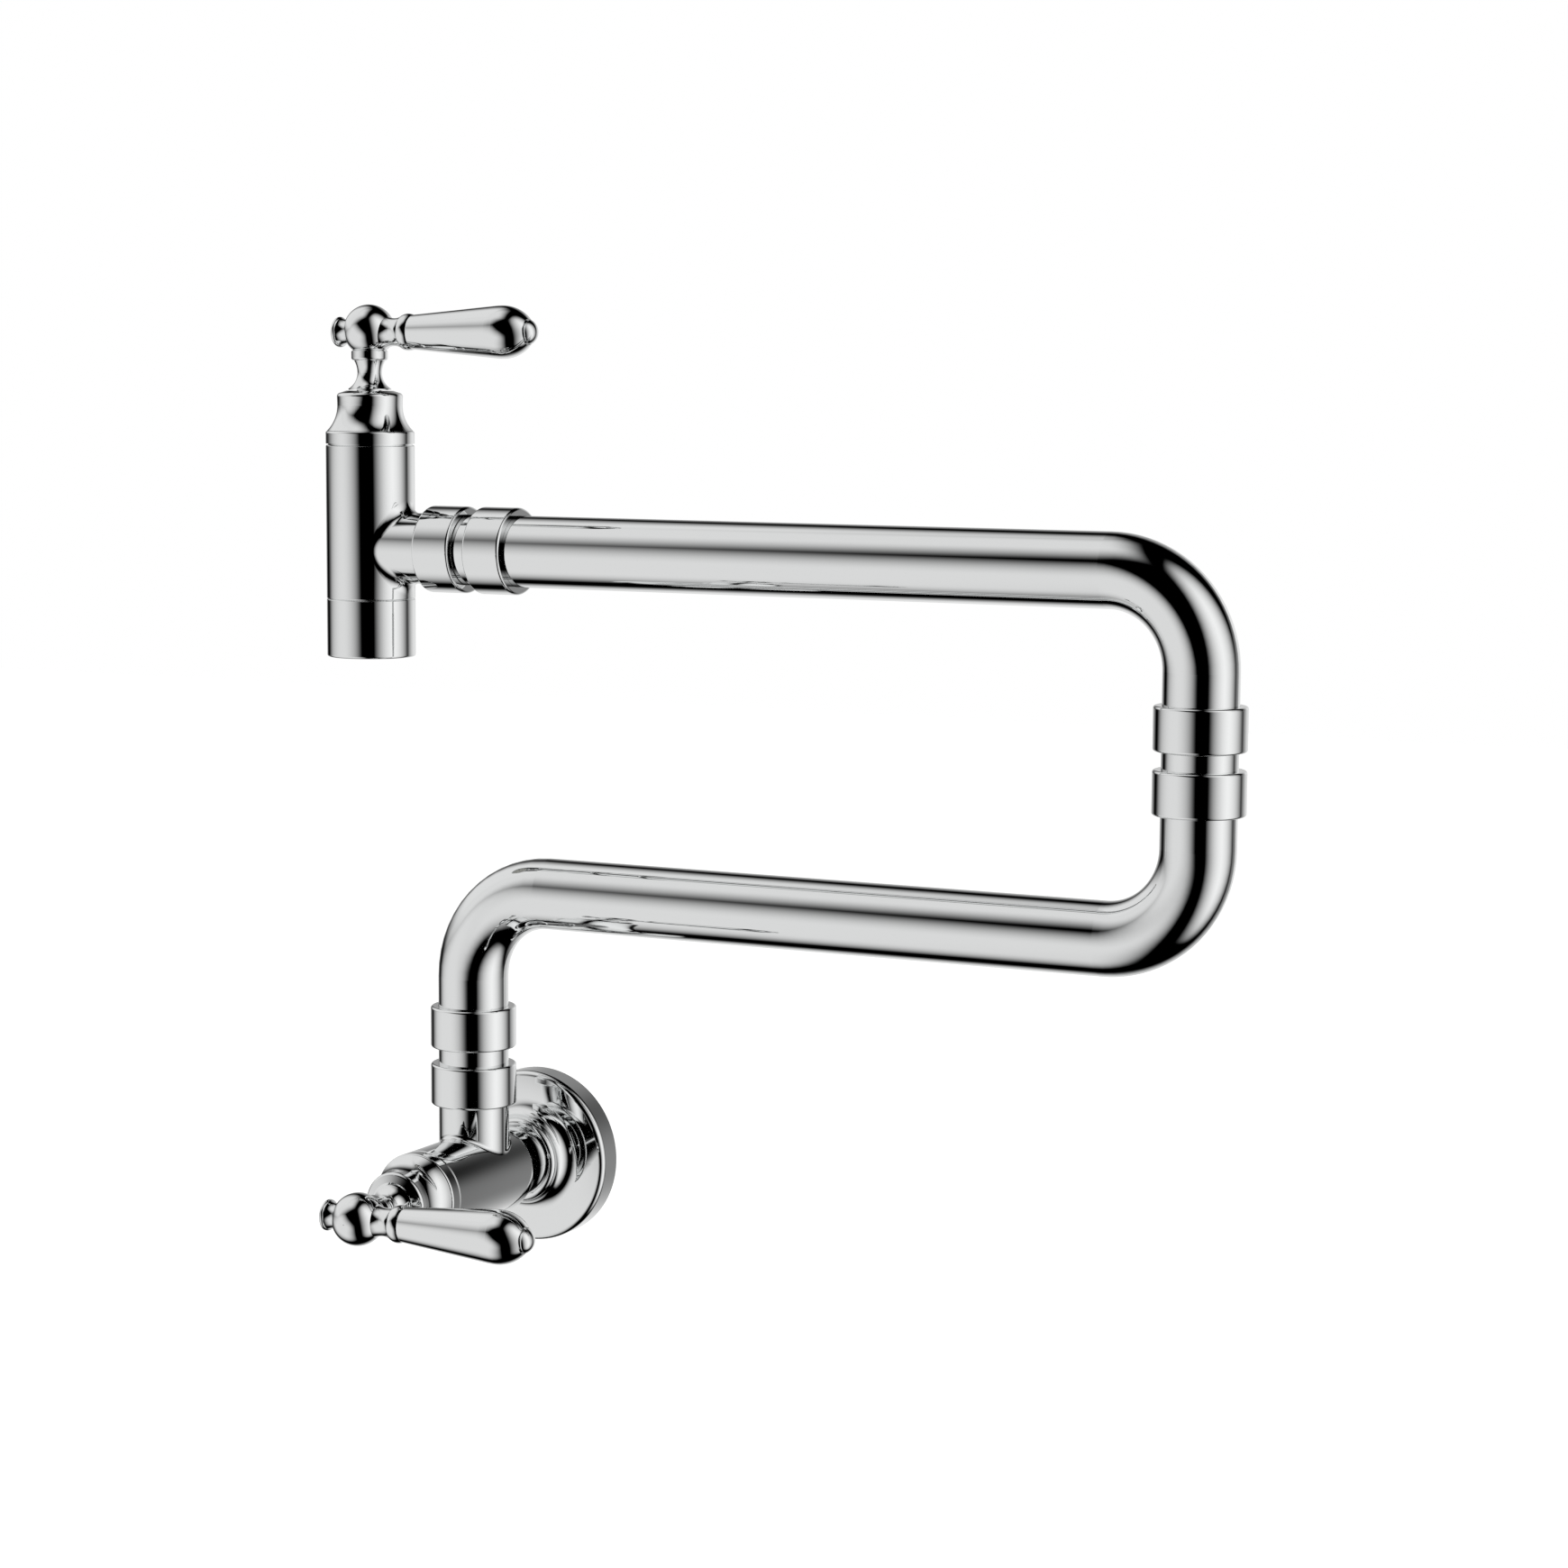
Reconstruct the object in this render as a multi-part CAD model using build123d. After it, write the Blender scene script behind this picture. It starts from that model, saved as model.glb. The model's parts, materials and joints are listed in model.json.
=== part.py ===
from build123d import *
import os
from math import cos, radians, sin, sqrt, tan

os.makedirs("parts", exist_ok=True)

# A wall mounted pot filler, in millimetres. The wall is the plane Y = 0 and the room is on the -Y side.
# The supply enters along the Y axis at the origin. At rest both arms lie parallel to the wall, folded
# over each other, and both levers point along +X.

# ---- Arms ----
arm_tube_radius = 12.7
arm_tube_wall = 1.2
bend_radius = 32.0             # of the tube's centre line
lower_arm_reach = 276.8        # from the wall swivel to the elbow
upper_arm_reach = 319.7        # from the elbow to the spout's axis
arm_rise = 61.0                # from a swivel's middle up to the arm that stands on it
arm_stand_off = 48.75          # from the wall to the plane of the arms

# ---- Swivels ----
collar_step = 2.8              # the collar stands this far proud of the tube
collar_length = 15.0
collar_round = 0.9
swivel_ring_length = 6.0       # the ring that shows between two collars
fixed_socket_depth = 10.0      # how far a tube enters the fixed collar
moving_socket_depth = 6.0
stem_tube_room = 2.5           # between the stem and the inside of the tube
stem_bore_radius = 6.0
stem_overrun = 3.2             # how far the stem stands past the collar it turns in
stem_thread_step = 0.5         # the stem's thread is this much larger than its bearing
o_ring_groove_width = 2.2
o_ring_groove_depth = 1.6
washer_recess_depth = 1.2
washer_width = 2.8
retaining_ring_thickness = 1.0
retaining_ring_width = 2.4
retaining_ring_groove_depth = 0.8
retaining_ring_mouth = 60.0    # degrees

# ---- Valves ----
valve_step = 3.3               # the valve body stands this far proud of its branch
valve_wall = 4.5
wall_branch_fillet = 2.0
spout_branch_fillet = 4.4
seat_web = 2.0                 # behind the cartridge's seat
seat_hole_radius = 5.5
wall_branch_length = 45.3      # from the valve's axis to the middle of its swivel
spout_branch_length = 44.8
wall_valve_nose = 35.2         # from the branch's axis to the bonnet ring
spout_valve_nose = 36.9
wall_valve_tail = 15.5         # from the branch's axis back to the shoulder at the shank
water_way_radius = 6.5
seat_floor = 0.5               # the cartridge seats this far past the edge of the water way
edge_break = 0.4
wall_valve_tail_round = 0.7

# ---- Cartridges ----
seal_thickness = 1.8
seal_width = 3.6
disc_thickness = 3.0
disc_step = 3.5                # the discs are this much smaller than the valve's bore
disc_window_inner = 2.0
disc_window_margin = 1.6
disc_window_angle = 76.0       # degrees, each of the two windows in a disc
cage_window_height = 7.0
cage_window_width = 9.0
cage_step = 1.1                # room for water round the cage
cage_roof = 1.5
spindle_radius = 5.0
spindle_bar_width = 5.0
spindle_bar_thickness = 2.2
spindle_bar_depth = 1.0        # let into the moving disc
spindle_stud_radius = 2.9
spindle_shoulder = 1.0         # above the cartridge's neck
spindle_seal_depth = 1.4
spindle_stud_bite = 3.0        # how far the stud reaches into the ball
bonnet_thread_wall = 2.5
bonnet_thread_depth = 7.0
cartridge_flange_thickness = 2.0
cartridge_neck_radius = 8.5
cartridge_neck_rise = 11.0     # above the top of the valve body

# ---- Bonnets ----
bonnet_groove_height = 0.5
bonnet_groove_depth = 0.8
bonnet_ring_height = 4.6
bonnet_ring_round = 0.9
bonnet_spigot_radius = 11.0
bonnet_spigot_height = 3.5
bell_height = 14.4
bell_foot_radius = 15.5
bell_waist_radius = 11.75
bell_waist_height = 9.0        # above the bell's foot
bell_lip_radius = 11.85
bell_lip_drop = 2.1            # from the bell's top down to where its side turns in
bell_shoulder_radius = 10.9
bell_shoulder_drop = 0.8
bell_crown_radius = 8.5        # of the flat round the hole
bell_wall = 2.2
bell_hole_radius = 5.3

# ---- Lever handles ----
lever_height = 40.5            # the lever's axis above the top of the valve body
hub_foot_radius = 7.7
hub_foot_height = 0.4
hub_waist_radius = 4.4
hub_waist_share = 0.58         # of the way from the hub's foot up to the bead
hub_bead_radius = 6.55
hub_bead_drop = 7.2            # from the ball's centre down to the top of the bead
hub_bead_height = 3.5
hub_bead_round = 0.9           # under the bead
hub_bead_break = 0.3           # on top of it
hub_ball_radius = 9.3
hub_ball_lift = 0.6            # the ball's centre above the lever's axis
hub_boss_length = 4.0
neck_waist_radius = 4.95       # the neck between the ball and the lever
neck_waist_place = 10.8        # from the hub's axis
neck_root_radius = 6.4
neck_root_place = 6.1          # inside the ball
neck_end_radius = 6.15
neck_end = 15.0
finial_seat_depth = 1.0        # how far the finial is let into the ball
finial_neck_radius = 4.2
finial_neck_end = 8.6          # from the hub's axis to where the finial widens
finial_radius = 5.5
finial_reach = 13.8            # from the hub's axis to the finial's face
finial_thickness = 2.1
finial_edge = 0.5              # how far the finial's face and back are inside its rim
finial_stud_radius = 2.2
finial_stud_length = 4.0
ferrule_radius = 6.6
ferrule_length = 3.8
ferrule_end_radius = 6.05
grip_length = 47.8
grip_root_radius = 6.2
grip_root_round = 0.5
grip_belly_radius = 9.35
grip_belly_place = 37.6        # from the grip's root to where it is thickest
grip_belly_blend = 3.0
grip_tip_radius = 4.6
lever_rod_radius = 3.0
lever_stud_radius = 2.9
lever_stud_length = 9.0
button_radius = 4.2
button_length = 3.3
button_shoulder = 0.9          # from the grip's tip to where the button is widest
button_shank_length = 5.0
hub_screw_radius = 1.5
hub_screw_length = 3.4
socket_share = 0.55            # of a grub screw's radius, out to the corners of its hexagon socket
socket_depth = 1.3

# ---- Wall end ----
flange_radius = 32.1
flange_side_height = 8.1       # from the wall to where the rim's rounding starts
flange_rim_wall = 3.1
flange_rim_round = 2.2
flange_face_fall = 8.0         # degrees, how much the domed face falls away where it meets the rim
flange_flare_radius = 6.1
flange_hub_radius = 15.7
flange_hub_round = 2.0
flange_wall = 2.2              # behind the face
shank_radius = 13.3
shank_spigot_step = 2.3
shank_bore_radius = 6.0
foot_radius = 27.0
foot_thickness = 4.0
foot_screw_circle_radius = 21.0
foot_screw_hole_radius = 2.75
foot_screw_head_radius = 5.0
foot_screw_count = 3
foot_screw_turn = 30.0         # degrees, so that one screw is straight down
supply_thread_radius = 9.13    # tapping size of a half-inch pipe thread
supply_thread_depth = 16.0
flange_screw_radius = 2.0
gasket_width = 1.2
gasket_depth = 0.8

# ---- Spout outlet ----
outlet_drop = 39.7             # from the upper arm's axis to the bottom of the spout
outlet_seam = 18.6             # from the upper arm's axis to the seam
outlet_spigot_length = 8.0
outlet_wall = 3.2
outlet_edge_round = 0.8
aerator_washer_thickness = 2.0
aerator_recess = 1.4
aerator_ring_wall = 1.6
aerator_plate_thickness = 2.0
aerator_hole_radius = 0.75
aerator_hole_pitch = 2.5

# ---- Clearances ----
running_gap = 0.05             # between a turning piece and its bearing
thread_gap = 0.05              # modelled round a screwed or soldered piece
seal_gap = 0.02
open_gap = 0.3                 # between moving pieces that don't bear on each other
overcut = 1.0                  # how far a cut or a join is carried past a face
radius_match = 0.01            # how near an edge's radius comes to count as the collar's

# ---- Worked out from the above ----
tube_bore = arm_tube_radius - arm_tube_wall
collar_radius = arm_tube_radius + collar_step
half_ring = swivel_ring_length / 2
collar_end = half_ring + collar_length
stem_radius = tube_bore - stem_tube_room
stem_thread_radius = stem_radius + stem_thread_step
fixed_shoulder = collar_end - fixed_socket_depth
moving_shoulder = collar_end - moving_socket_depth
valve_radius = arm_tube_radius + valve_step
valve_bore = valve_radius - valve_wall
floor_level = -(water_way_radius + seat_floor)
fixed_disc_level = floor_level + seal_thickness
moving_disc_level = fixed_disc_level + disc_thickness + running_gap
discs_top = moving_disc_level + disc_thickness
cage_top = discs_top + cage_window_height + cage_roof
disc_radius = valve_bore - disc_step
bonnet_thread_radius = valve_radius - bonnet_thread_wall
ring_level = bonnet_groove_height
bell_level = ring_level + bonnet_ring_height
hub_level = bell_level + bell_height + open_gap
shank_spigot_radius = shank_radius - shank_spigot_step
outlet_bore = valve_radius - outlet_wall
cartridge_seal_level = cage_top + 1.5 * o_ring_groove_width
spindle_seal_level = cage_top + 3 * o_ring_groove_width
ball_level = lever_height + hub_ball_lift
bead_high = ball_level - hub_bead_drop
bead_low = bead_high - hub_bead_height
hub_screw_level = (bead_low + bead_high) / 2
lever_stud_start = neck_end - lever_stud_length
grip_start = neck_end + ferrule_length
finial_seat = sqrt(hub_ball_radius**2 - finial_neck_radius**2) - finial_seat_depth
finial_stud_start = finial_seat - finial_stud_length
face_fall = radians(flange_face_fall)
rim_join_radius = flange_radius - flange_rim_round * (1 - sin(face_fall))
rim_join_level = flange_side_height + flange_rim_round * cos(face_fall)
flare_foot_radius = flange_hub_radius + flange_flare_radius
flare_foot_level = rim_join_level + (rim_join_radius - flare_foot_radius) * tan(face_fall / 2)
flare_level = flare_foot_level + flange_flare_radius
flange_top = flare_level + flange_hub_round
flange_back = flare_foot_level - flange_wall
flange_seal_level = (flange_back + flange_top) / 2
flange_screw_level = flange_screw_radius + gasket_depth + edge_break
gasket_middle = flange_radius - flange_rim_wall / 2
outlet_spigot_end = -outlet_seam - outlet_spigot_length
aerator_top = outlet_spigot_end - aerator_washer_thickness
aerator_low = -outlet_drop + aerator_recess
aerator_radius = outlet_bore - thread_gap
FROM_BASE = (Align.CENTER, Align.CENTER, Align.MIN)

wall_place = Plane((0, 0, 0), x_dir=(1, 0, 0), z_dir=(0, -1, 0))
flange_screw_place = Pos(0, 0, flange_screw_level) * Rot(90, 0, 0)
wall_branch_turn = 90.0        # degrees about the valve's axis, so that its branch points up
wall_valve_place = Plane((0, -arm_stand_off, 0), x_dir=(1, 0, 0), z_dir=(0, -1, 0))
wall_swivel_height = wall_branch_length
lower_arm_height = wall_swivel_height + arm_rise
elbow_height = lower_arm_height + arm_rise
upper_arm_height = elbow_height + arm_rise
spout_x = lower_arm_reach - upper_arm_reach
spout_valve_place = Plane((spout_x, -arm_stand_off, upper_arm_height), x_dir=(1, 0, 0), z_dir=(0, 0, 1))
wall_swivel_place = Plane((0, -arm_stand_off, wall_swivel_height), x_dir=(1, 0, 0), z_dir=(0, 0, 1))
elbow_place = Plane((lower_arm_reach, -arm_stand_off, elbow_height), x_dir=(1, 0, 0), z_dir=(0, 0, 1))
spout_swivel_x = spout_x + spout_branch_length
spout_swivel_place = Plane(
    (spout_swivel_x, -arm_stand_off, upper_arm_height), x_dir=(0, 0, 1), z_dir=(-1, 0, 0)
)


def rod(radius, low, high):
    """A cylinder along the local Z axis."""
    return Pos(0, 0, low) * Cylinder(radius, high - low, align=FROM_BASE)


def ring(outer, inner, low, high):
    """A ring along the local Z axis."""
    return rod(outer, low, high) - rod(inner, low - overcut, high + overcut)


def grub_screw(radius, low, high):
    """A headless screw with a hexagon socket in its high end."""
    hexagon = Pos(0, 0, high - socket_depth) * RegularPolygon(radius * socket_share, 6)
    return rod(radius, low, high) - extrude(hexagon, 2 * socket_depth)


def round_seal(centre_radius, section_radius, level):
    """An O-ring about the local Z axis."""
    return Pos(0, 0, level) * Torus(centre_radius, section_radius)


def turned(outline):
    """A solid turned about the local Z axis; the outline's points are (radius, height)."""
    return Rot(90, 0, 0) * revolve(make_face(outline), Axis.Y)


def along_x(shape):
    """Turns a shape from the local Z axis to the local X axis."""
    return Rot(0, 90, 0) * shape


def save(shape, name):
    export_step(shape, f"parts/{name}.step")


# ---- Swivel: the stem is screwed into the fixed collar, and the moving collar turns on it ----


def swivel_fixed_collar():
    body = ring(collar_radius, stem_thread_radius + thread_gap, -collar_end, -half_ring)
    body = fillet(body.edges().filter_by(GeomType.CIRCLE).filter_by(is_collar_edge), collar_round)
    return body - rod(arm_tube_radius + thread_gap, -collar_end - overcut, -fixed_shoulder)


def is_collar_edge(edge):
    return abs(edge.radius - collar_radius) < radius_match


def swivel_moving_collar():
    body = ring(collar_radius, stem_radius + running_gap, half_ring, collar_end)
    body = fillet(body.edges().filter_by(GeomType.CIRCLE).filter_by(is_collar_edge), collar_round)
    recess_radius = stem_radius + washer_width + open_gap
    recess = rod(recess_radius, half_ring - overcut, half_ring + washer_recess_depth)
    socket = rod(arm_tube_radius + thread_gap, moving_shoulder, collar_end + overcut)
    return body - recess - socket


def seal_levels():
    """The two O-rings share the stem's bearing evenly."""
    low = half_ring + washer_recess_depth
    step = (moving_shoulder - low) / 4
    return [low + step, low + 3 * step]


def swivel_stem():
    top = moving_shoulder + stem_overrun
    body = rod(stem_thread_radius, -fixed_shoulder, -half_ring)
    body += rod(arm_tube_radius, -half_ring, half_ring - open_gap)
    body += rod(stem_radius, half_ring - open_gap, top)
    body -= rod(stem_bore_radius, -fixed_shoulder - overcut, top + overcut)
    half_width = o_ring_groove_width / 2
    for level in seal_levels():
        groove_floor = stem_radius - o_ring_groove_depth
        body -= ring(stem_radius + overcut, groove_floor, level - half_width, level + half_width)
    ring_floor = stem_radius - retaining_ring_groove_depth
    low = moving_shoulder + open_gap
    high = low + retaining_ring_thickness
    body -= ring(stem_radius + overcut, ring_floor, low - running_gap, high + running_gap)
    return body


def swivel_o_rings():
    bearing = stem_radius + running_gap
    groove_floor = stem_radius - o_ring_groove_depth
    section = (bearing - groove_floor) / 2 - seal_gap
    seals = [round_seal((bearing + groove_floor) / 2, section, level) for level in seal_levels()]
    return Compound(children=seals)


def swivel_thrust_washer():
    top = half_ring + washer_recess_depth - running_gap
    return ring(stem_radius + washer_width, stem_radius + thread_gap, half_ring - open_gap, top)


def swivel_retaining_ring():
    inner = stem_radius - retaining_ring_groove_depth + thread_gap
    low = moving_shoulder + open_gap
    body = ring(inner + retaining_ring_width, inner, low, low + retaining_ring_thickness)
    half_mouth = radians(retaining_ring_mouth / 2)
    reach = 2 * collar_radius
    mouth = Polyline(
        (0, 0),
        (reach * cos(half_mouth), reach * sin(half_mouth)),
        (reach * cos(half_mouth), -reach * sin(half_mouth)),
        close=True,
    )
    cut = extrude(Pos(0, 0, low - overcut) * make_face(mouth), retaining_ring_thickness + 2 * overcut)
    return body - cut


def save_swivel(place, prefix):
    save(place.location * swivel_fixed_collar(), prefix + "_fixed_collar")
    save(place.location * swivel_stem(), prefix + "_stem")
    save(place.location * swivel_o_rings(), prefix + "_o_rings")
    save(place.location * swivel_thrust_washer(), prefix + "_thrust_washer")
    save(place.location * swivel_moving_collar(), prefix + "_moving_collar")
    save(place.location * swivel_retaining_ring(), prefix + "_retaining_ring")


save_swivel(wall_swivel_place, "wall_swivel")
save_swivel(elbow_place, "elbow")
save_swivel(spout_swivel_place, "spout_swivel")


# ---- Arm tubes: straight runs joined by tangent bends ----


def bent_tube(*corners):
    """A round tube through the corners, with a bend at each one between the ends."""
    route = FilletPolyline(*corners, radius=bend_radius)
    start = Plane(route @ 0, z_dir=route % 0)
    outer = sweep(start * Circle(arm_tube_radius), path=route)
    bore = sweep(start * Circle(tube_bore), path=route)
    return outer - bore


def lower_arm_tube():
    bottom = wall_swivel_height + moving_shoulder
    top = elbow_height - fixed_shoulder
    return bent_tube(
        (0, -arm_stand_off, bottom),
        (0, -arm_stand_off, lower_arm_height),
        (lower_arm_reach, -arm_stand_off, lower_arm_height),
        (lower_arm_reach, -arm_stand_off, top),
    )


def upper_arm_tube():
    bottom = elbow_height + moving_shoulder
    tip = spout_swivel_x + fixed_shoulder
    return bent_tube(
        (lower_arm_reach, -arm_stand_off, bottom),
        (lower_arm_reach, -arm_stand_off, upper_arm_height),
        (tip, -arm_stand_off, upper_arm_height),
    )


save(lower_arm_tube(), "lower_arm_tube")
save(upper_arm_tube(), "upper_arm_tube")


# ---- Valve bodies: built with the branch along local X and the handle's side at the top ----


def valve_body(nose, tail, tail_round, branch_end, branch_fillet):
    barrel = rod(valve_radius, -tail, nose)
    rims = barrel.edges().filter_by(GeomType.CIRCLE).sort_by(Axis.Z)
    barrel = fillet(rims[0], tail_round)
    rims = barrel.edges().filter_by(GeomType.CIRCLE).sort_by(Axis.Z)
    barrel = chamfer(rims[-1], edge_break)
    body = barrel + along_x(rod(arm_tube_radius, 0, branch_end))
    body = fillet(body.edges().filter_by(is_branch_seam), branch_fillet)
    body -= rod(valve_bore, floor_level, nose)
    body -= rod(bonnet_thread_radius + thread_gap, nose - bonnet_thread_depth, nose + overcut)
    body -= rod(seat_hole_radius, floor_level - seat_web - overcut, floor_level + overcut)
    return body - along_x(rod(water_way_radius, 0, branch_end + overcut))


def is_branch_seam(edge):
    return edge.geom_type != GeomType.CIRCLE and edge.geom_type != GeomType.LINE


def wall_valve_body():
    branch_end = wall_branch_length - fixed_shoulder
    body = valve_body(
        wall_valve_nose, wall_valve_tail, wall_valve_tail_round, branch_end, wall_branch_fillet
    )
    return body - rod(shank_spigot_radius + thread_gap, -wall_valve_tail - overcut, floor_level - seat_web)


def spout_body():
    branch_end = spout_branch_length - moving_shoulder
    body = valve_body(spout_valve_nose, outlet_seam, edge_break, branch_end, spout_branch_fillet)
    body += rod(outlet_bore - thread_gap, outlet_spigot_end, -outlet_seam + overcut)
    body -= along_x(rod(tube_bore, branch_end - stem_overrun - 2 * open_gap, branch_end + overcut))
    return body - rod(stem_bore_radius, outlet_spigot_end - overcut, floor_level - seat_web)


save(wall_valve_place.location * Rot(0, 0, wall_branch_turn) * wall_valve_body(), "wall_valve_body")
save(spout_valve_place.location * spout_body(), "spout_body")


# ---- Cartridges: heights are from the branch's axis, as in the valve bodies ----


def disc_windows(low, high, turn):
    """Two opposite windows, as sectors of a ring."""
    outer = disc_radius - disc_window_margin
    half = radians(disc_window_angle / 2)
    reach = outer * 2
    windows = []
    for side in (0, 180):
        corners = Polyline(
            (0, 0),
            (reach * cos(half), reach * sin(half)),
            (reach * cos(half), -reach * sin(half)),
            close=True,
        )
        sector = extrude(Pos(0, 0, low - overcut) * make_face(corners), high - low + 2 * overcut)
        band = ring(outer, disc_window_inner, low - overcut, high + overcut)
        windows.append(Rot(0, 0, turn + side) * (sector & band))
    return windows


def seat_seal():
    return ring(seat_hole_radius + seal_width, seat_hole_radius, floor_level, fixed_disc_level)


def fixed_disc():
    high = fixed_disc_level + disc_thickness
    body = rod(disc_radius, fixed_disc_level, high)
    for window in disc_windows(fixed_disc_level, high, 0):
        body -= window
    return body


def drive_bar(gap):
    """The bar on the spindle's end that turns the moving disc."""
    length = 2 * (disc_radius - disc_window_margin)
    depth = spindle_bar_thickness + spindle_bar_depth
    bar = Box(length + 2 * gap, spindle_bar_width + 2 * gap, depth, align=FROM_BASE)
    return Pos(0, 0, discs_top - spindle_bar_depth) * bar


def moving_disc():
    body = rod(disc_radius, moving_disc_level, discs_top)
    for window in disc_windows(moving_disc_level, discs_top, 90):
        body -= window
    return body - drive_bar(thread_gap)


def cartridge_body(nose):
    thread_low = nose - bonnet_thread_depth
    flange_top = thread_low + cartridge_flange_thickness
    neck_top = nose + cartridge_neck_rise
    body = rod(valve_bore - cage_step, fixed_disc_level, cage_top)
    body += rod(valve_bore - thread_gap, cage_top, thread_low)
    body += rod(bonnet_thread_radius - thread_gap, thread_low, flange_top)
    body += rod(cartridge_neck_radius, flange_top, neck_top)
    body -= rod(disc_radius + running_gap, fixed_disc_level - overcut, cage_top - cage_roof)
    body -= rod(spindle_radius + running_gap, fixed_disc_level, neck_top + overcut)
    width = 2 * valve_radius
    window = Box(width, cage_window_width, cage_window_height, align=FROM_BASE)
    body -= Pos(0, 0, discs_top) * window
    low = cartridge_seal_level - o_ring_groove_width / 2
    groove_floor = valve_bore - o_ring_groove_depth
    return body - ring(valve_bore + overcut, groove_floor, low, low + o_ring_groove_width)


def cartridge_o_ring():
    groove_floor = valve_bore - o_ring_groove_depth
    section = o_ring_groove_depth / 2 - seal_gap
    return round_seal((valve_bore + groove_floor) / 2, section, cartridge_seal_level)


def spindle(nose):
    shoulder = nose + cartridge_neck_rise + spindle_shoulder
    bar_top = discs_top + spindle_bar_thickness
    body = drive_bar(0) + rod(spindle_radius, bar_top, shoulder)
    body += rod(spindle_stud_radius, shoulder, spindle_top(nose))
    low = spindle_seal_level - o_ring_groove_width / 2
    groove_floor = spindle_radius - spindle_seal_depth
    return body - ring(spindle_radius + overcut, groove_floor, low, low + o_ring_groove_width)


def spindle_top(nose):
    return nose + ball_level - hub_ball_radius + spindle_stud_bite


def spindle_o_ring():
    groove_floor = spindle_radius - spindle_seal_depth
    bearing = spindle_radius + running_gap
    section = (bearing - groove_floor) / 2 - seal_gap
    return round_seal((bearing + groove_floor) / 2, section, spindle_seal_level)


# ---- Bonnets: heights are from the top of the valve body ----


def bonnet_ring():
    top = bell_level
    skirt_low = cartridge_flange_thickness - bonnet_thread_depth
    spigot_top = top + bonnet_spigot_height
    round_low = (valve_radius, top - bonnet_ring_round)
    round_high = (valve_radius - bonnet_ring_round, top)
    outline = Polyline(
        round_high,
        (bonnet_spigot_radius, top),
        (bonnet_spigot_radius, spigot_top),
        (cartridge_neck_radius + thread_gap, spigot_top),
        (cartridge_neck_radius + thread_gap, skirt_low),
        (bonnet_thread_radius, skirt_low),
        (bonnet_thread_radius, 0),
        (valve_radius - bonnet_groove_depth, 0),
        (valve_radius - bonnet_groove_depth, ring_level),
        (valve_radius, ring_level),
        round_low,
    ).edges()
    outline.append(TangentArc(round_low, round_high, tangent=(0, 1)))
    return turned(outline)


def bell():
    """A hollow bell: a concave flare up to a waist, then a rounded shoulder and a low crown."""
    top = bell_level + bell_height
    waist = bell_level + bell_waist_height
    foot_edge = (bell_foot_radius, bell_level)
    lip = (bell_lip_radius, top - bell_lip_drop)
    shoulder = (bell_shoulder_radius, top - bell_shoulder_drop)
    outer = [
        TangentArc((bell_waist_radius, waist), foot_edge, tangent=(0, -1)),
        TangentArc((bell_waist_radius, waist), lip, tangent=(0, 1)),
        TangentArc(lip, shoulder, tangent=(0, 1)),
    ]
    cavity_top = top - bell_wall
    cavity_radius = bell_waist_radius - bell_wall
    spigot_top = bell_level + bonnet_spigot_height
    inner = Polyline(
        shoulder,
        (bell_crown_radius, top),
        (bell_hole_radius, top),
        (bell_hole_radius, cavity_top),
        (cavity_radius, cavity_top),
        (cavity_radius, spigot_top + open_gap),
        (bonnet_spigot_radius + thread_gap, spigot_top + open_gap),
        (bonnet_spigot_radius + thread_gap, bell_level),
        foot_edge,
    )
    return turned(outer + inner.edges())


# ---- Lever handles: heights are from the top of the valve body, the lever points along local X ----


def hub(screw_turn):
    """The turned column, the ball on it and the neck that the lever is screwed into."""
    foot = hub_level
    waist = foot + hub_waist_share * (bead_low - foot)
    foot_edge = (hub_foot_radius, foot + hub_foot_height)
    bead_edge = (hub_bead_radius - hub_bead_round, bead_low)
    bead_side = (hub_bead_radius, bead_low + hub_bead_round)
    outline = [
        TangentArc((hub_waist_radius, waist), foot_edge, tangent=(0, -1)),
        TangentArc((hub_waist_radius, waist), bead_edge, tangent=(0, 1)),
        TangentArc(bead_side, bead_edge, tangent=(0, -1)),
    ]
    outline += Polyline(
        bead_side,
        (hub_bead_radius, bead_high - hub_bead_break),
        (hub_bead_radius - hub_bead_break, bead_high),
        (0, bead_high),
        (0, foot),
        (hub_foot_radius, foot),
        foot_edge,
    ).edges()
    body = turned(outline)
    body += rod(bell_hole_radius - 2 * open_gap, foot - hub_boss_length, foot)
    body += Pos(0, 0, ball_level) * Sphere(hub_ball_radius)
    body += Pos(0, 0, lever_height) * along_x(lever_neck())
    stud_low = foot - hub_boss_length - overcut
    body -= rod(spindle_stud_radius + thread_gap, stud_low, spindle_top(0) + open_gap)
    lever_hole = rod(lever_stud_radius + thread_gap, lever_stud_start - open_gap, neck_end + overcut)
    finial_hole = rod(finial_neck_radius + thread_gap, finial_seat, hub_ball_radius + overcut)
    finial_hole += rod(finial_stud_radius + thread_gap, finial_stud_start - open_gap, hub_ball_radius)
    body -= Pos(0, 0, lever_height) * along_x(lever_hole)
    body -= Pos(0, 0, lever_height) * Rot(0, 0, 180) * along_x(finial_hole)
    screw_hole = rod(hub_screw_radius + thread_gap, 0, hub_bead_radius + overcut)
    return body - hub_screw_place(screw_turn) * screw_hole


def lever_neck():
    """Flares both ways from its waist: into the ball, and out to the lever's ferrule."""
    waist = (neck_waist_radius, neck_waist_place)
    root = (neck_root_radius, neck_root_place)
    end = (neck_end_radius, neck_end)
    outline = [TangentArc(waist, root, tangent=(0, -1)), TangentArc(waist, end, tangent=(0, 1))]
    outline += Polyline(end, (0, neck_end), (0, neck_root_place), root).edges()
    return turned(outline)


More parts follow.
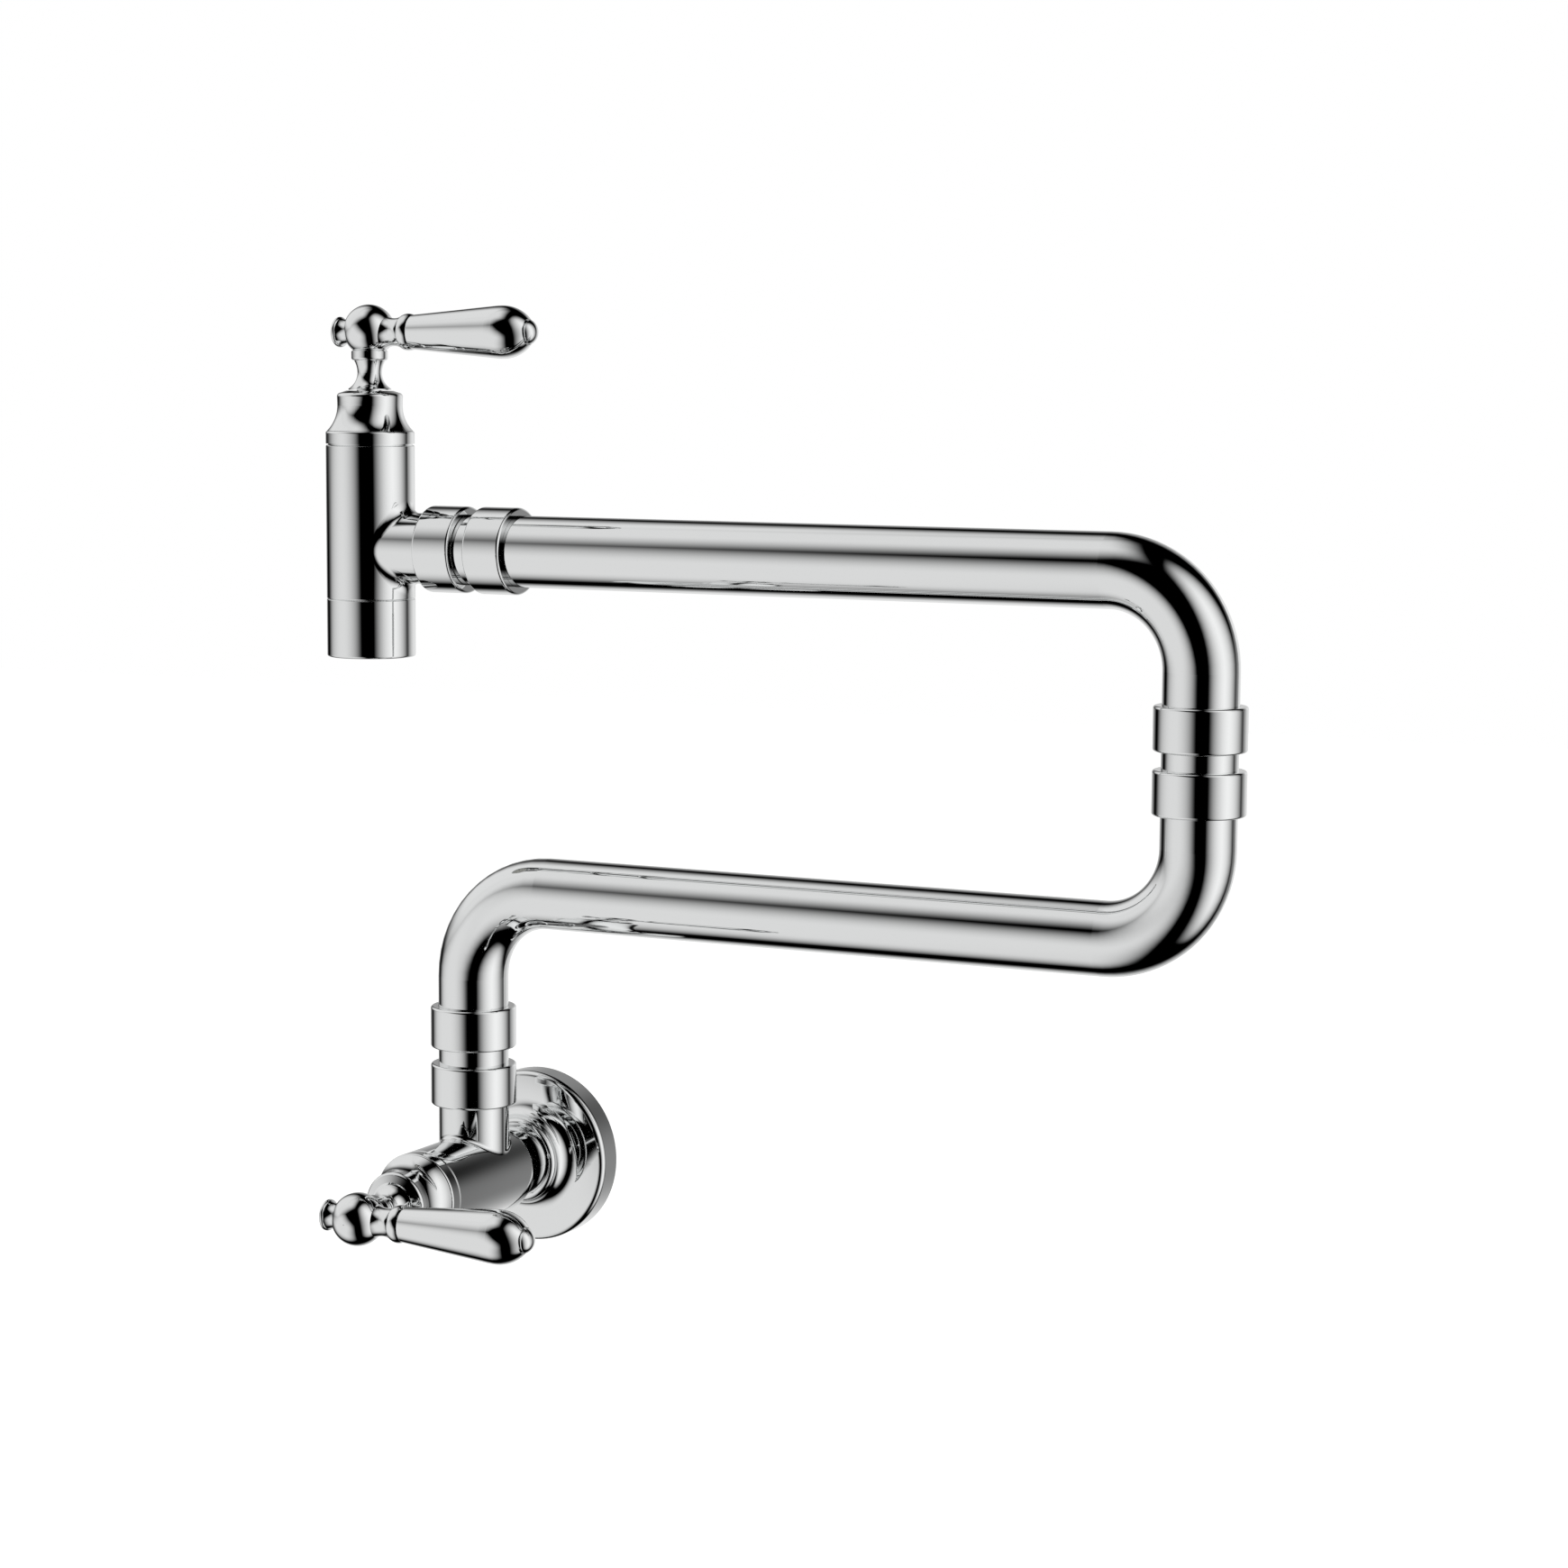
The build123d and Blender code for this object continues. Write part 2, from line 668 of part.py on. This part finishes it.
def hub_screw_place(turn):
    """Radially into the bead under the ball, square to the lever."""
    return Pos(0, 0, hub_screw_level) * Rot(0, 0, turn) * Rot(-90, 0, 0)


def hub_screw(turn):
    start = spindle_stud_radius
    return hub_screw_place(turn) * grub_screw(hub_screw_radius, start, start + hub_screw_length)


def finial():
    """A knob that widens from its neck to a rounded rim, with a low domed face."""
    back = finial_reach - finial_thickness
    neck_edge = (finial_neck_radius, finial_neck_end)
    back_edge = (finial_radius - finial_edge, back)
    face_edge = (finial_radius - finial_edge, finial_reach - finial_edge)
    outline = [
        TangentArc(neck_edge, back_edge, tangent=(0, 1)),
        ThreePointArc(back_edge, (finial_radius, (back_edge[1] + face_edge[1]) / 2), face_edge),
        TangentArc((0, finial_reach), face_edge, tangent=(1, 0)),
    ]
    outline += Polyline(
        (0, finial_reach),
        (0, finial_stud_start),
        (finial_stud_radius, finial_stud_start),
        (finial_stud_radius, finial_seat),
        (finial_neck_radius, finial_seat),
        neck_edge,
    ).edges()
    return Pos(0, 0, lever_height) * Rot(0, 0, 180) * along_x(turned(outline))


def lever_stem():
    """The ferrule, with a stud into the neck and a rod through the grip."""
    rod_end = grip_start + grip_length - button_shank_length - open_gap
    start_edge = (neck_end_radius, neck_end)
    end_edge = (ferrule_end_radius, grip_start)
    outline = [ThreePointArc(start_edge, (ferrule_radius, (neck_end + grip_start) / 2), end_edge)]
    outline += Polyline(
        end_edge,
        (lever_rod_radius, grip_start),
        (lever_rod_radius, rod_end),
        (0, rod_end),
        (0, lever_stud_start),
        (lever_stud_radius, lever_stud_start),
        (lever_stud_radius, neck_end),
        start_edge,
    ).edges()
    return Pos(0, 0, lever_height) * along_x(turned(outline))


def lever_grip():
    """A hollow taper: straight from the root, rounded over the belly and domed to the tip."""
    end = grip_start + grip_length
    belly = grip_start + grip_belly_place
    taper = (grip_belly_radius - grip_root_radius) / (grip_belly_place - grip_belly_blend / 2)
    blend_radius = grip_belly_radius - taper * grip_belly_blend / 2
    outline = Polyline(
        (lever_rod_radius + thread_gap, end),
        (lever_rod_radius + thread_gap, grip_start),
        (grip_root_radius - grip_root_round, grip_start),
    ).edges()
    root_side = (grip_root_radius, grip_start + grip_root_round)
    outline += [
        TangentArc(root_side, (grip_root_radius - grip_root_round, grip_start), tangent=(0, -1)),
        Line(root_side, (blend_radius, belly - grip_belly_blend)),
        TangentArc((grip_belly_radius, belly), (blend_radius, belly - grip_belly_blend), tangent=(0, -1)),
        TangentArc((grip_belly_radius, belly), (grip_tip_radius, end), tangent=(0, 1)),
        Line((grip_tip_radius, end), (lever_rod_radius + thread_gap, end)),
    ]
    return Pos(0, 0, lever_height) * along_x(turned(outline))


def grip_button():
    start = grip_start + grip_length
    tip = start + button_length
    shoulder = (button_radius, start + button_shoulder)
    outline = Polyline(
        (0, tip),
        (0, start - button_shank_length),
        (lever_rod_radius, start - button_shank_length),
        (lever_rod_radius, start),
        (button_radius - button_shoulder / 2, start),
        shoulder,
    ).edges()
    outline.append(TangentArc((0, tip), shoulder, tangent=(1, 0)))
    return Pos(0, 0, lever_height) * along_x(turned(outline))


def save_valve(place, prefix, nose, branch_turn, screw_turn):
    """The pieces that both valves have, and the handle that turns them."""
    top = place.location * Pos(0, 0, nose)
    branch = place.location * Rot(0, 0, branch_turn)
    save(branch * seat_seal(), prefix + "_seat_seal")
    save(branch * fixed_disc(), prefix + "_fixed_disc")
    save(branch * moving_disc(), prefix + "_moving_disc")
    save(branch * cartridge_body(nose), prefix + "_cartridge_body")
    save(branch * cartridge_o_ring(), prefix + "_cartridge_o_ring")
    save(branch * spindle(nose), prefix + "_spindle")
    save(branch * spindle_o_ring(), prefix + "_spindle_o_ring")
    save(top * bonnet_ring(), prefix + "_bonnet_ring")
    save(top * bell(), prefix + "_bell")
    save(top * hub(screw_turn), prefix + "_lever_hub")
    save(top * hub_screw(screw_turn), prefix + "_hub_screw")
    save(top * finial(), prefix + "_finial")
    save(top * lever_stem(), prefix + "_lever_stem")
    save(top * lever_grip(), prefix + "_lever_grip")
    save(top * grip_button(), prefix + "_grip_button")


save_valve(wall_valve_place, "wall_valve", wall_valve_nose, wall_branch_turn, screw_turn=180)
save_valve(spout_valve_place, "spout_valve", spout_valve_nose, 0, screw_turn=0)


# ---- Wall end: heights are from the wall, along the shank ----


def wall_foot():
    shoulder = arm_stand_off - wall_valve_tail
    spigot_end = arm_stand_off + floor_level - seat_web - open_gap
    body = rod(foot_radius, 0, foot_thickness)
    body += rod(shank_radius, 0, shoulder)
    body += rod(shank_spigot_radius, 0, spigot_end)
    body -= rod(supply_thread_radius, -overcut, supply_thread_depth)
    body -= rod(shank_bore_radius, 0, spigot_end + overcut)
    countersink = foot_screw_head_radius - foot_screw_hole_radius
    screw_hole = rod(foot_screw_hole_radius, -overcut, foot_thickness + overcut)
    screw_hole += Pos(0, 0, foot_thickness - countersink) * Cone(
        foot_screw_hole_radius, foot_screw_head_radius, countersink, align=FROM_BASE
    )
    for place in PolarLocations(foot_screw_circle_radius, foot_screw_count, start_angle=foot_screw_turn):
        body -= place * screw_hole
    return body


def wall_flange():
    """A low domed disc with a rounded rim and a flared hub, hollow at the back."""
    rim_side = (flange_radius, flange_side_height)
    rim_join = (rim_join_radius, rim_join_level)
    flare_foot = (flare_foot_radius, flare_foot_level)
    hub_side = (flange_hub_radius, flare_level)
    hub_crown = (flange_hub_radius - flange_hub_round, flange_top)
    inner_radius = flange_radius - flange_rim_wall
    bore = shank_radius + thread_gap
    outline = [
        TangentArc(rim_side, rim_join, tangent=(0, 1)),
        TangentArc(flare_foot, rim_join, tangent=(1, 0)),
        TangentArc(hub_side, flare_foot, tangent=(0, -1)),
        TangentArc(hub_side, hub_crown, tangent=(0, 1)),
    ]
    outline += Polyline(
        hub_crown,
        (bore, flange_top),
        (bore, flange_back),
        (inner_radius, flange_back),
        (inner_radius, 0),
        (flange_radius, 0),
        rim_side,
    ).edges()
    body = turned(outline)
    half_gasket = gasket_width / 2 + thread_gap
    body -= ring(gasket_middle + half_gasket, gasket_middle - half_gasket, -overcut, gasket_depth)
    half_seal = o_ring_groove_width / 2
    seal_low = flange_seal_level - half_seal
    body -= ring(bore + o_ring_groove_depth, bore - overcut, seal_low, flange_seal_level + half_seal)
    screw_hole = rod(flange_screw_radius + thread_gap, foot_radius, flange_radius + overcut)
    return body - flange_screw_place * screw_hole


def flange_o_ring():
    groove_floor = shank_radius + thread_gap + o_ring_groove_depth
    section = (groove_floor - shank_radius) / 2 - seal_gap
    return round_seal((groove_floor + shank_radius) / 2, section, flange_seal_level)


def flange_gasket():
    return ring(gasket_middle + gasket_width / 2, gasket_middle - gasket_width / 2, 0, gasket_depth)


def flange_screw():
    """Through the bottom of the rim, against the edge of the foot."""
    return flange_screw_place * grub_screw(flange_screw_radius, foot_radius, flange_radius - 2 * open_gap)


save(wall_place.location * wall_foot(), "wall_foot")
save(wall_place.location * wall_flange(), "wall_flange")
save(wall_place.location * flange_o_ring(), "flange_o_ring")
save(wall_place.location * flange_gasket(), "flange_gasket")
save(wall_place.location * flange_screw(), "flange_screw")


# ---- Spout outlet: heights are from the upper arm's axis ----


def outlet_sleeve():
    low = -outlet_drop
    outline = [
        Line((outlet_bore, low), (valve_radius - outlet_edge_round, low)),
        TangentArc(
            (valve_radius - outlet_edge_round, low), (valve_radius, low + outlet_edge_round), tangent=(1, 0)
        ),
    ]
    outline += Polyline(
        (valve_radius, low + outlet_edge_round),
        (valve_radius, -outlet_seam - edge_break),
        (valve_radius - edge_break, -outlet_seam),
        (outlet_bore, -outlet_seam),
        (outlet_bore, low),
    ).edges()
    return turned(outline)


def aerator_insert():
    """A cup whose bottom plate is drilled in rings of holes."""
    plate_top = aerator_low + aerator_plate_thickness
    body = rod(aerator_radius, aerator_low, aerator_top)
    body -= rod(aerator_radius - aerator_ring_wall, plate_top, aerator_top + overcut)
    hole = rod(aerator_hole_radius, aerator_low - overcut, plate_top + overcut)
    body -= hole
    rings = int((aerator_radius - aerator_ring_wall - aerator_hole_radius) / aerator_hole_pitch)
    for n in range(1, rings + 1):
        for place in PolarLocations(n * aerator_hole_pitch, 6 * n):
            body -= place * hole
    return body


def aerator_washer():
    inner = aerator_radius - aerator_ring_wall
    return ring(aerator_radius, inner, aerator_top, outlet_spigot_end)


save(spout_valve_place.location * outlet_sleeve(), "outlet_sleeve")
save(spout_valve_place.location * aerator_insert(), "aerator_insert")
save(spout_valve_place.location * aerator_washer(), "aerator_washer")
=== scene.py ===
import json
from math import radians

import bpy
from mathutils import Matrix

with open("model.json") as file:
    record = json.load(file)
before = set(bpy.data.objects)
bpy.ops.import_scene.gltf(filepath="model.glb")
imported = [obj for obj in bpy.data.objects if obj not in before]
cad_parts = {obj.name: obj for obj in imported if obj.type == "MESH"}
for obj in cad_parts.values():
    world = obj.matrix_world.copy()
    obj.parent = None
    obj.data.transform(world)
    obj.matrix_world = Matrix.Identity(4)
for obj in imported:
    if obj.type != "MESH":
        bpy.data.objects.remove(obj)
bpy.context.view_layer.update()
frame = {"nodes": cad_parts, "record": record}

nodes = frame["nodes"]
mmPerMetre = 1000
toLevel = 90             # degrees that tilt a camera or a softbox from straight down to level


def fromHex(code):
    # sRGB hex to the linear colour that the shaders use, by the numbers of the sRGB standard
    channels = [int(code[i:i + 2], 16) / 255 for i in (1, 3, 5)]
    return [c / 12.92 if c <= 0.04045 else ((c + 0.055) / 1.055) ** 2.4 for c in channels] + [1]


def addNode(tree, kind, inputs=None, **settings):
    # an input is a number, a colour, another node's socket, or a node, whose first output is taken
    node = tree.nodes.new(kind)
    for name, value in settings.items():
        setattr(node, name, value)
    for key, value in (inputs or {}).items():
        if isinstance(value, bpy.types.Node):
            value = value.outputs[0]
        if isinstance(value, bpy.types.NodeSocket):
            tree.links.new(value, node.inputs[key])
        else:
            node.inputs[key].default_value = value
    return node


# The camera stands to the right of the wall valve and a little above it.
camera = {
    "place": (0.67273, -1.14004, 0.29001),   # metres
    "bearing": 26.63,                        # degrees, to the right of square on to the wall
    "down": 6.49,
    "roll": 0.35,
    "lens": 81.85,                           # mm, for the sensor width below
    "sensorWidth": 36,
    "farClip": 50,                           # metres, past the far edge of the floor
}

cameraData = bpy.data.cameras.new("photoCamera")
cameraData.lens = camera["lens"]
cameraData.sensor_width = camera["sensorWidth"]
cameraData.clip_end = camera["farClip"]
cameraObject = bpy.data.objects.new("photoCamera", cameraData)
bpy.context.scene.collection.objects.link(cameraObject)
bearing = Matrix.Rotation(radians(camera["bearing"]), 4, "Z")
tilt = Matrix.Rotation(radians(toLevel - camera["down"]), 4, "X")
roll = Matrix.Rotation(radians(camera["roll"]), 4, "Z")
cameraObject.matrix_world = Matrix.Translation(camera["place"]) @ bearing @ tilt @ roll
bpy.context.scene.camera = cameraObject
bpy.context.scene.view_settings.view_transform = "Standard"
print("camera set")

# Five softboxes on black for the chrome to mirror. Bearing, height and turn are in degrees, seen
# from the tap. The half sizes and the widths of the soft edges are tangents of angles from there.
softboxes = {
    "tallRight": {
        "bearing": 90.5, "height": 4.0, "turn": 11.5, "halfWide": 0.59, "halfHigh": 1.76,
        "softWide": 0.67, "softHigh": 1.31, "level": 1.0,
    },
    "highLeft": {
        "bearing": -75.3, "height": 41.1, "turn": -5.7, "halfWide": 0.54, "halfHigh": 0.87,
        "softWide": 0.38, "softHigh": 0.37, "level": 0.775,
    },
    "highFarLeft": {
        "bearing": -98.5, "height": 36.5, "turn": -7.3, "halfWide": 0.51, "halfHigh": 0.60,
        "softWide": 0.27, "softHigh": 0.25, "level": 0.80,
    },
    "lowLeft": {
        "bearing": -47.9, "height": -25.2, "turn": -46.8, "halfWide": 0.90, "halfHigh": 0.83,
        "softWide": 0.58, "softHigh": 0.52, "level": 0.78,
    },
    "behind": {
        "bearing": -169.1, "height": -11.1, "turn": 43.9, "halfWide": 0.46, "halfHigh": 0.81,
        "softWide": 0.56, "softHigh": 0.42, "level": 0.86,
    },
}
studio = {
    "edgePower": 0.85,        # below 1, a soft edge falls faster at its black end
    "frontOnly": 0.02,        # cosine below which a direction misses the softbox altogether
    "white": "#FFFFFF",
}


def softboxLight(tree, direction, box):
    # in the softbox's own frame its middle lies along Z, so X / Z and Y / Z run across it
    spin = Matrix.Rotation(radians(box["bearing"]), 3, "Z")
    spin = spin @ Matrix.Rotation(radians(toLevel - box["height"]), 3, "X")
    spin = spin @ Matrix.Rotation(radians(box["turn"]), 3, "Z")
    local = addNode(tree, "ShaderNodeMapping", {"Vector": direction, "Rotation": spin.to_euler()},
                    vector_type="TEXTURE")
    axes = addNode(tree, "ShaderNodeSeparateXYZ", {0: local}).outputs
    light = addNode(tree, "ShaderNodeMath", {0: axes["Z"], 1: studio["frontOnly"]},
                    operation="GREATER_THAN")
    for axis, side in (("X", "Wide"), ("Y", "High")):
        half, soft = box["half" + side], box["soft" + side]
        slope = addNode(tree, "ShaderNodeMath", {0: axes[axis], 1: axes["Z"]}, operation="DIVIDE")
        away = addNode(tree, "ShaderNodeMath", {0: slope}, operation="ABSOLUTE")
        edge = addNode(tree, "ShaderNodeMapRange", {
            "Value": away, "From Min": half - soft, "From Max": half + soft,
            "To Min": 1, "To Max": 0,
        }, interpolation_type="SMOOTHSTEP")
        light = addNode(tree, "ShaderNodeMath", {0: light, 1: edge}, operation="MULTIPLY")
    light = addNode(tree, "ShaderNodeMath", {0: light, 1: studio["edgePower"]}, operation="POWER")
    return addNode(tree, "ShaderNodeMath", {0: light, 1: box["level"]}, operation="MULTIPLY")


world = bpy.data.worlds.new("studio")
bpy.context.scene.world = world
world.use_nodes = True
worldTree = world.node_tree
worldTree.nodes.clear()
direction = addNode(worldTree, "ShaderNodeTexCoord").outputs["Generated"]
brightness = 0
for box in softboxes.values():
    light = softboxLight(worldTree, direction, box)
    brightness = addNode(worldTree, "ShaderNodeMath", {0: brightness, 1: light},
                         operation="MAXIMUM")

# The camera sees white all round. Glossy and transmitted rays see that white only where a softbox
# is, and black between them, because the photograph's chrome is as black as it is white. Other
# rays see the softboxes as plain soft light.
rays = addNode(worldTree, "ShaderNodeLightPath").outputs
mirrorRay = addNode(worldTree, "ShaderNodeMath",
                    {0: rays["Is Glossy Ray"], 1: rays["Is Transmission Ray"]}, operation="ADD")
inMirror = addNode(worldTree, "ShaderNodeMath", {0: mirrorRay, 1: brightness},
                   operation="MULTIPLY")
whiteShare = addNode(worldTree, "ShaderNodeMath", {0: rays["Is Camera Ray"], 1: inMirror},
                     operation="ADD")
otherRay = addNode(worldTree, "ShaderNodeMath", {0: 1, 1: mirrorRay}, operation="SUBTRACT")
softLight = addNode(worldTree, "ShaderNodeMath", {0: otherRay, 1: brightness},
                    operation="MULTIPLY")
white = fromHex(studio["white"])
softSky = addNode(worldTree, "ShaderNodeBackground", {"Color": white, "Strength": softLight})
whiteSky = addNode(worldTree, "ShaderNodeBackground", {"Color": white, "Strength": 1})
sky = addNode(worldTree, "ShaderNodeMixShader", {0: whiteShare, 1: softSky, 2: whiteSky})
addNode(worldTree, "ShaderNodeOutputWorld", {"Surface": sky})
print("softboxes set")

floor = {
    "place": (0.1, 0, -0.45),    # metres, below the middle of the tap
    "size": 12,
    "paint": "#EDEDEB",
    "glow": 0.75,                # lifts the paper to near white, for the camera alone
}

bpy.ops.object.select_all(action="DESELECT")
bpy.ops.mesh.primitive_plane_add(size=floor["size"], location=floor["place"])
floorObject = bpy.context.active_object
floorObject.name = "studioFloor"
floorObject.visible_glossy = False       # the chrome mirrors the softboxes alone
paper = bpy.data.materials.new("whitePaperSweep")   # matt paper: no gloss at all
paper.use_nodes = True
paperTree = paper.node_tree
paperTree.nodes.clear()
matt = addNode(paperTree, "ShaderNodeBsdfDiffuse", {"Color": fromHex(floor["paint"])})
glow = addNode(paperTree, "ShaderNodeEmission", {"Color": white, "Strength": floor["glow"]})
lit = addNode(paperTree, "ShaderNodeAddShader", {0: matt, 1: glow})
cameraRay = addNode(paperTree, "ShaderNodeLightPath").outputs["Is Camera Ray"]
paperMix = addNode(paperTree, "ShaderNodeMixShader", {0: cameraRay, 1: matt, 2: lit})
addNode(paperTree, "ShaderNodeOutputMaterial", {"Surface": paperMix})
floorObject.data.materials.append(paper)

lamp = {"place": (0.1, -0.3, 2.2), "size": 2.5, "power": 26}   # metres and watts

lampData = bpy.data.lights.new("overheadLamp", "AREA")
lampData.size = lamp["size"]
lampData.energy = lamp["power"]
lampObject = bpy.data.objects.new("overheadLamp", lampData)
lampObject.location = lamp["place"]
lampObject.visible_glossy = False        # for the floor and the matt pieces only
bpy.context.scene.collection.objects.link(lampObject)
print("floor and lamp set")

noiseSpan = (0.3, 0.7)   # nearly all of a noise pattern's values lie between these


def makeFinish(name, finish):
    # a pattern of patternMm shades the colour and the gloss; the bump has one of its own or
    # shares it, and "shader" holds what is the same all over the surface
    material = bpy.data.materials.new(name)
    material.use_nodes = True
    tree = material.node_tree
    tree.nodes.clear()
    place = addNode(tree, "ShaderNodeTexCoord").outputs["Object"]   # metres on every piece
    pattern = addNode(tree, "ShaderNodeTexNoise", {
        "Vector": place, "Scale": mmPerMetre / finish["patternMm"], "Detail": finish["detail"],
    })
    surface = {"Base Color": fromHex(finish["colour"]), **finish["shader"]}
    if "shade" in finish:
        mixed = addNode(tree, "ShaderNodeMix", {
            "Factor": pattern, "A": fromHex(finish["colour"]), "B": fromHex(finish["shade"]),
        }, data_type="RGBA")
        surface["Base Color"] = mixed.outputs["Result"]
    if "rough" in finish:
        surface["Roughness"] = addNode(tree, "ShaderNodeMapRange", {
            "Value": pattern, "From Min": noiseSpan[0], "From Max": noiseSpan[1],
            "To Min": finish["rough"][0], "To Max": finish["rough"][1],
        })
    if "bumpDepthMm" in finish:
        relief = pattern
        if "bumpMm" in finish:
            relief = addNode(tree, "ShaderNodeTexNoise", {
                "Vector": place, "Scale": mmPerMetre / finish["bumpMm"],
                "Detail": finish["bumpDetail"],
            })
        surface["Normal"] = addNode(tree, "ShaderNodeBump", {
            "Height": relief, "Strength": 1, "Distance": finish["bumpDepthMm"] / mmPerMetre,
        })
    shader = addNode(tree, "ShaderNodeBsdfPrincipled", surface)
    addNode(tree, "ShaderNodeOutputMaterial", {"Surface": shader})
    return material


# Chromium plated over polished brass: a mirror with a trace of waviness from the buffing wheel.
chrome = {
    "colour": "#F0F1F1",
    "rough": (0.025, 0.045),
    "patternMm": 14, "detail": 3,
    "bumpMm": 9, "bumpDetail": 0, "bumpDepthMm": 0.0012,
    "shader": {"Metallic": 1},
}
chromePlate = makeFinish("chromePlateOverBrass", chrome)

# Free machining brass, turned and left bare: tool lines and a slight brown tarnish. The lines
# are drawn coarser than a real feed of about 0.1 mm, so that they show.
brass = {
    "colour": "#C9A25C", "shade": "#A8834A",
    "rough": (0.22, 0.34),
    "patternMm": 3, "detail": 4,
    "bumpMm": 0.4, "bumpDetail": 1, "bumpDepthMm": 0.004,
    "shader": {"Metallic": 1},
}
machinedBrass = makeFinish("machinedBrass", brass)

# Stainless spring and screw steel: a grey metal with a drawn grain, coarser than real to show.
steel = {
    "colour": "#B9BABB",
    "rough": (0.2, 0.32),
    "patternMm": 0.5, "detail": 2, "bumpDepthMm": 0.003,
    "shader": {"Metallic": 1},
}
stainlessSteel = makeFinish("stainlessSteel", steel)

# Nitrile rubber, moulded: black, with a dull bloom whose grain is coarser than real to show.
rubber = {
    "colour": "#1B1B1C", "shade": "#2B2B2B",
    "patternMm": 0.3, "detail": 3, "bumpDepthMm": 0.01,
    "shader": {"Roughness": 0.6},
}
nitrileRubber = makeFinish("nitrileRubber", rubber)

# Alumina ceramic, lapped flat: off-white with fine specks, almost shiny.
ceramic = {
    "colour": "#F1EFE8", "shade": "#DDD9CF",
    "patternMm": 0.6, "detail": 3,
    "shader": {"Roughness": 0.18, "IOR": 1.76},
}
aluminaCeramic = makeFinish("aluminaCeramic", ceramic)

# Acetal plastic, moulded: milky white with a soft sheen.
acetal = {
    "colour": "#DEDEDA", "shade": "#CFCFCA",
    "patternMm": 0.8, "detail": 2, "bumpDepthMm": 0.004,
    "shader": {"Roughness": 0.42, "IOR": 1.48},
}
acetalPlastic = makeFinish("mouldedAcetal", acetal)

finishes = {
    "chrome": chromePlate,
    "brass": machinedBrass,
    "steel": stainlessSteel,
    "rubber": nitrileRubber,
    "ceramic": aluminaCeramic,
    "plastic": acetalPlastic,
}
for part in frame["record"]["subparts"]:
    for slot in nodes[part["node"]].material_slots:
        slot.material = finishes[part["material_slot"]]
print("materials set on", len(nodes), "parts")


print("scene built")
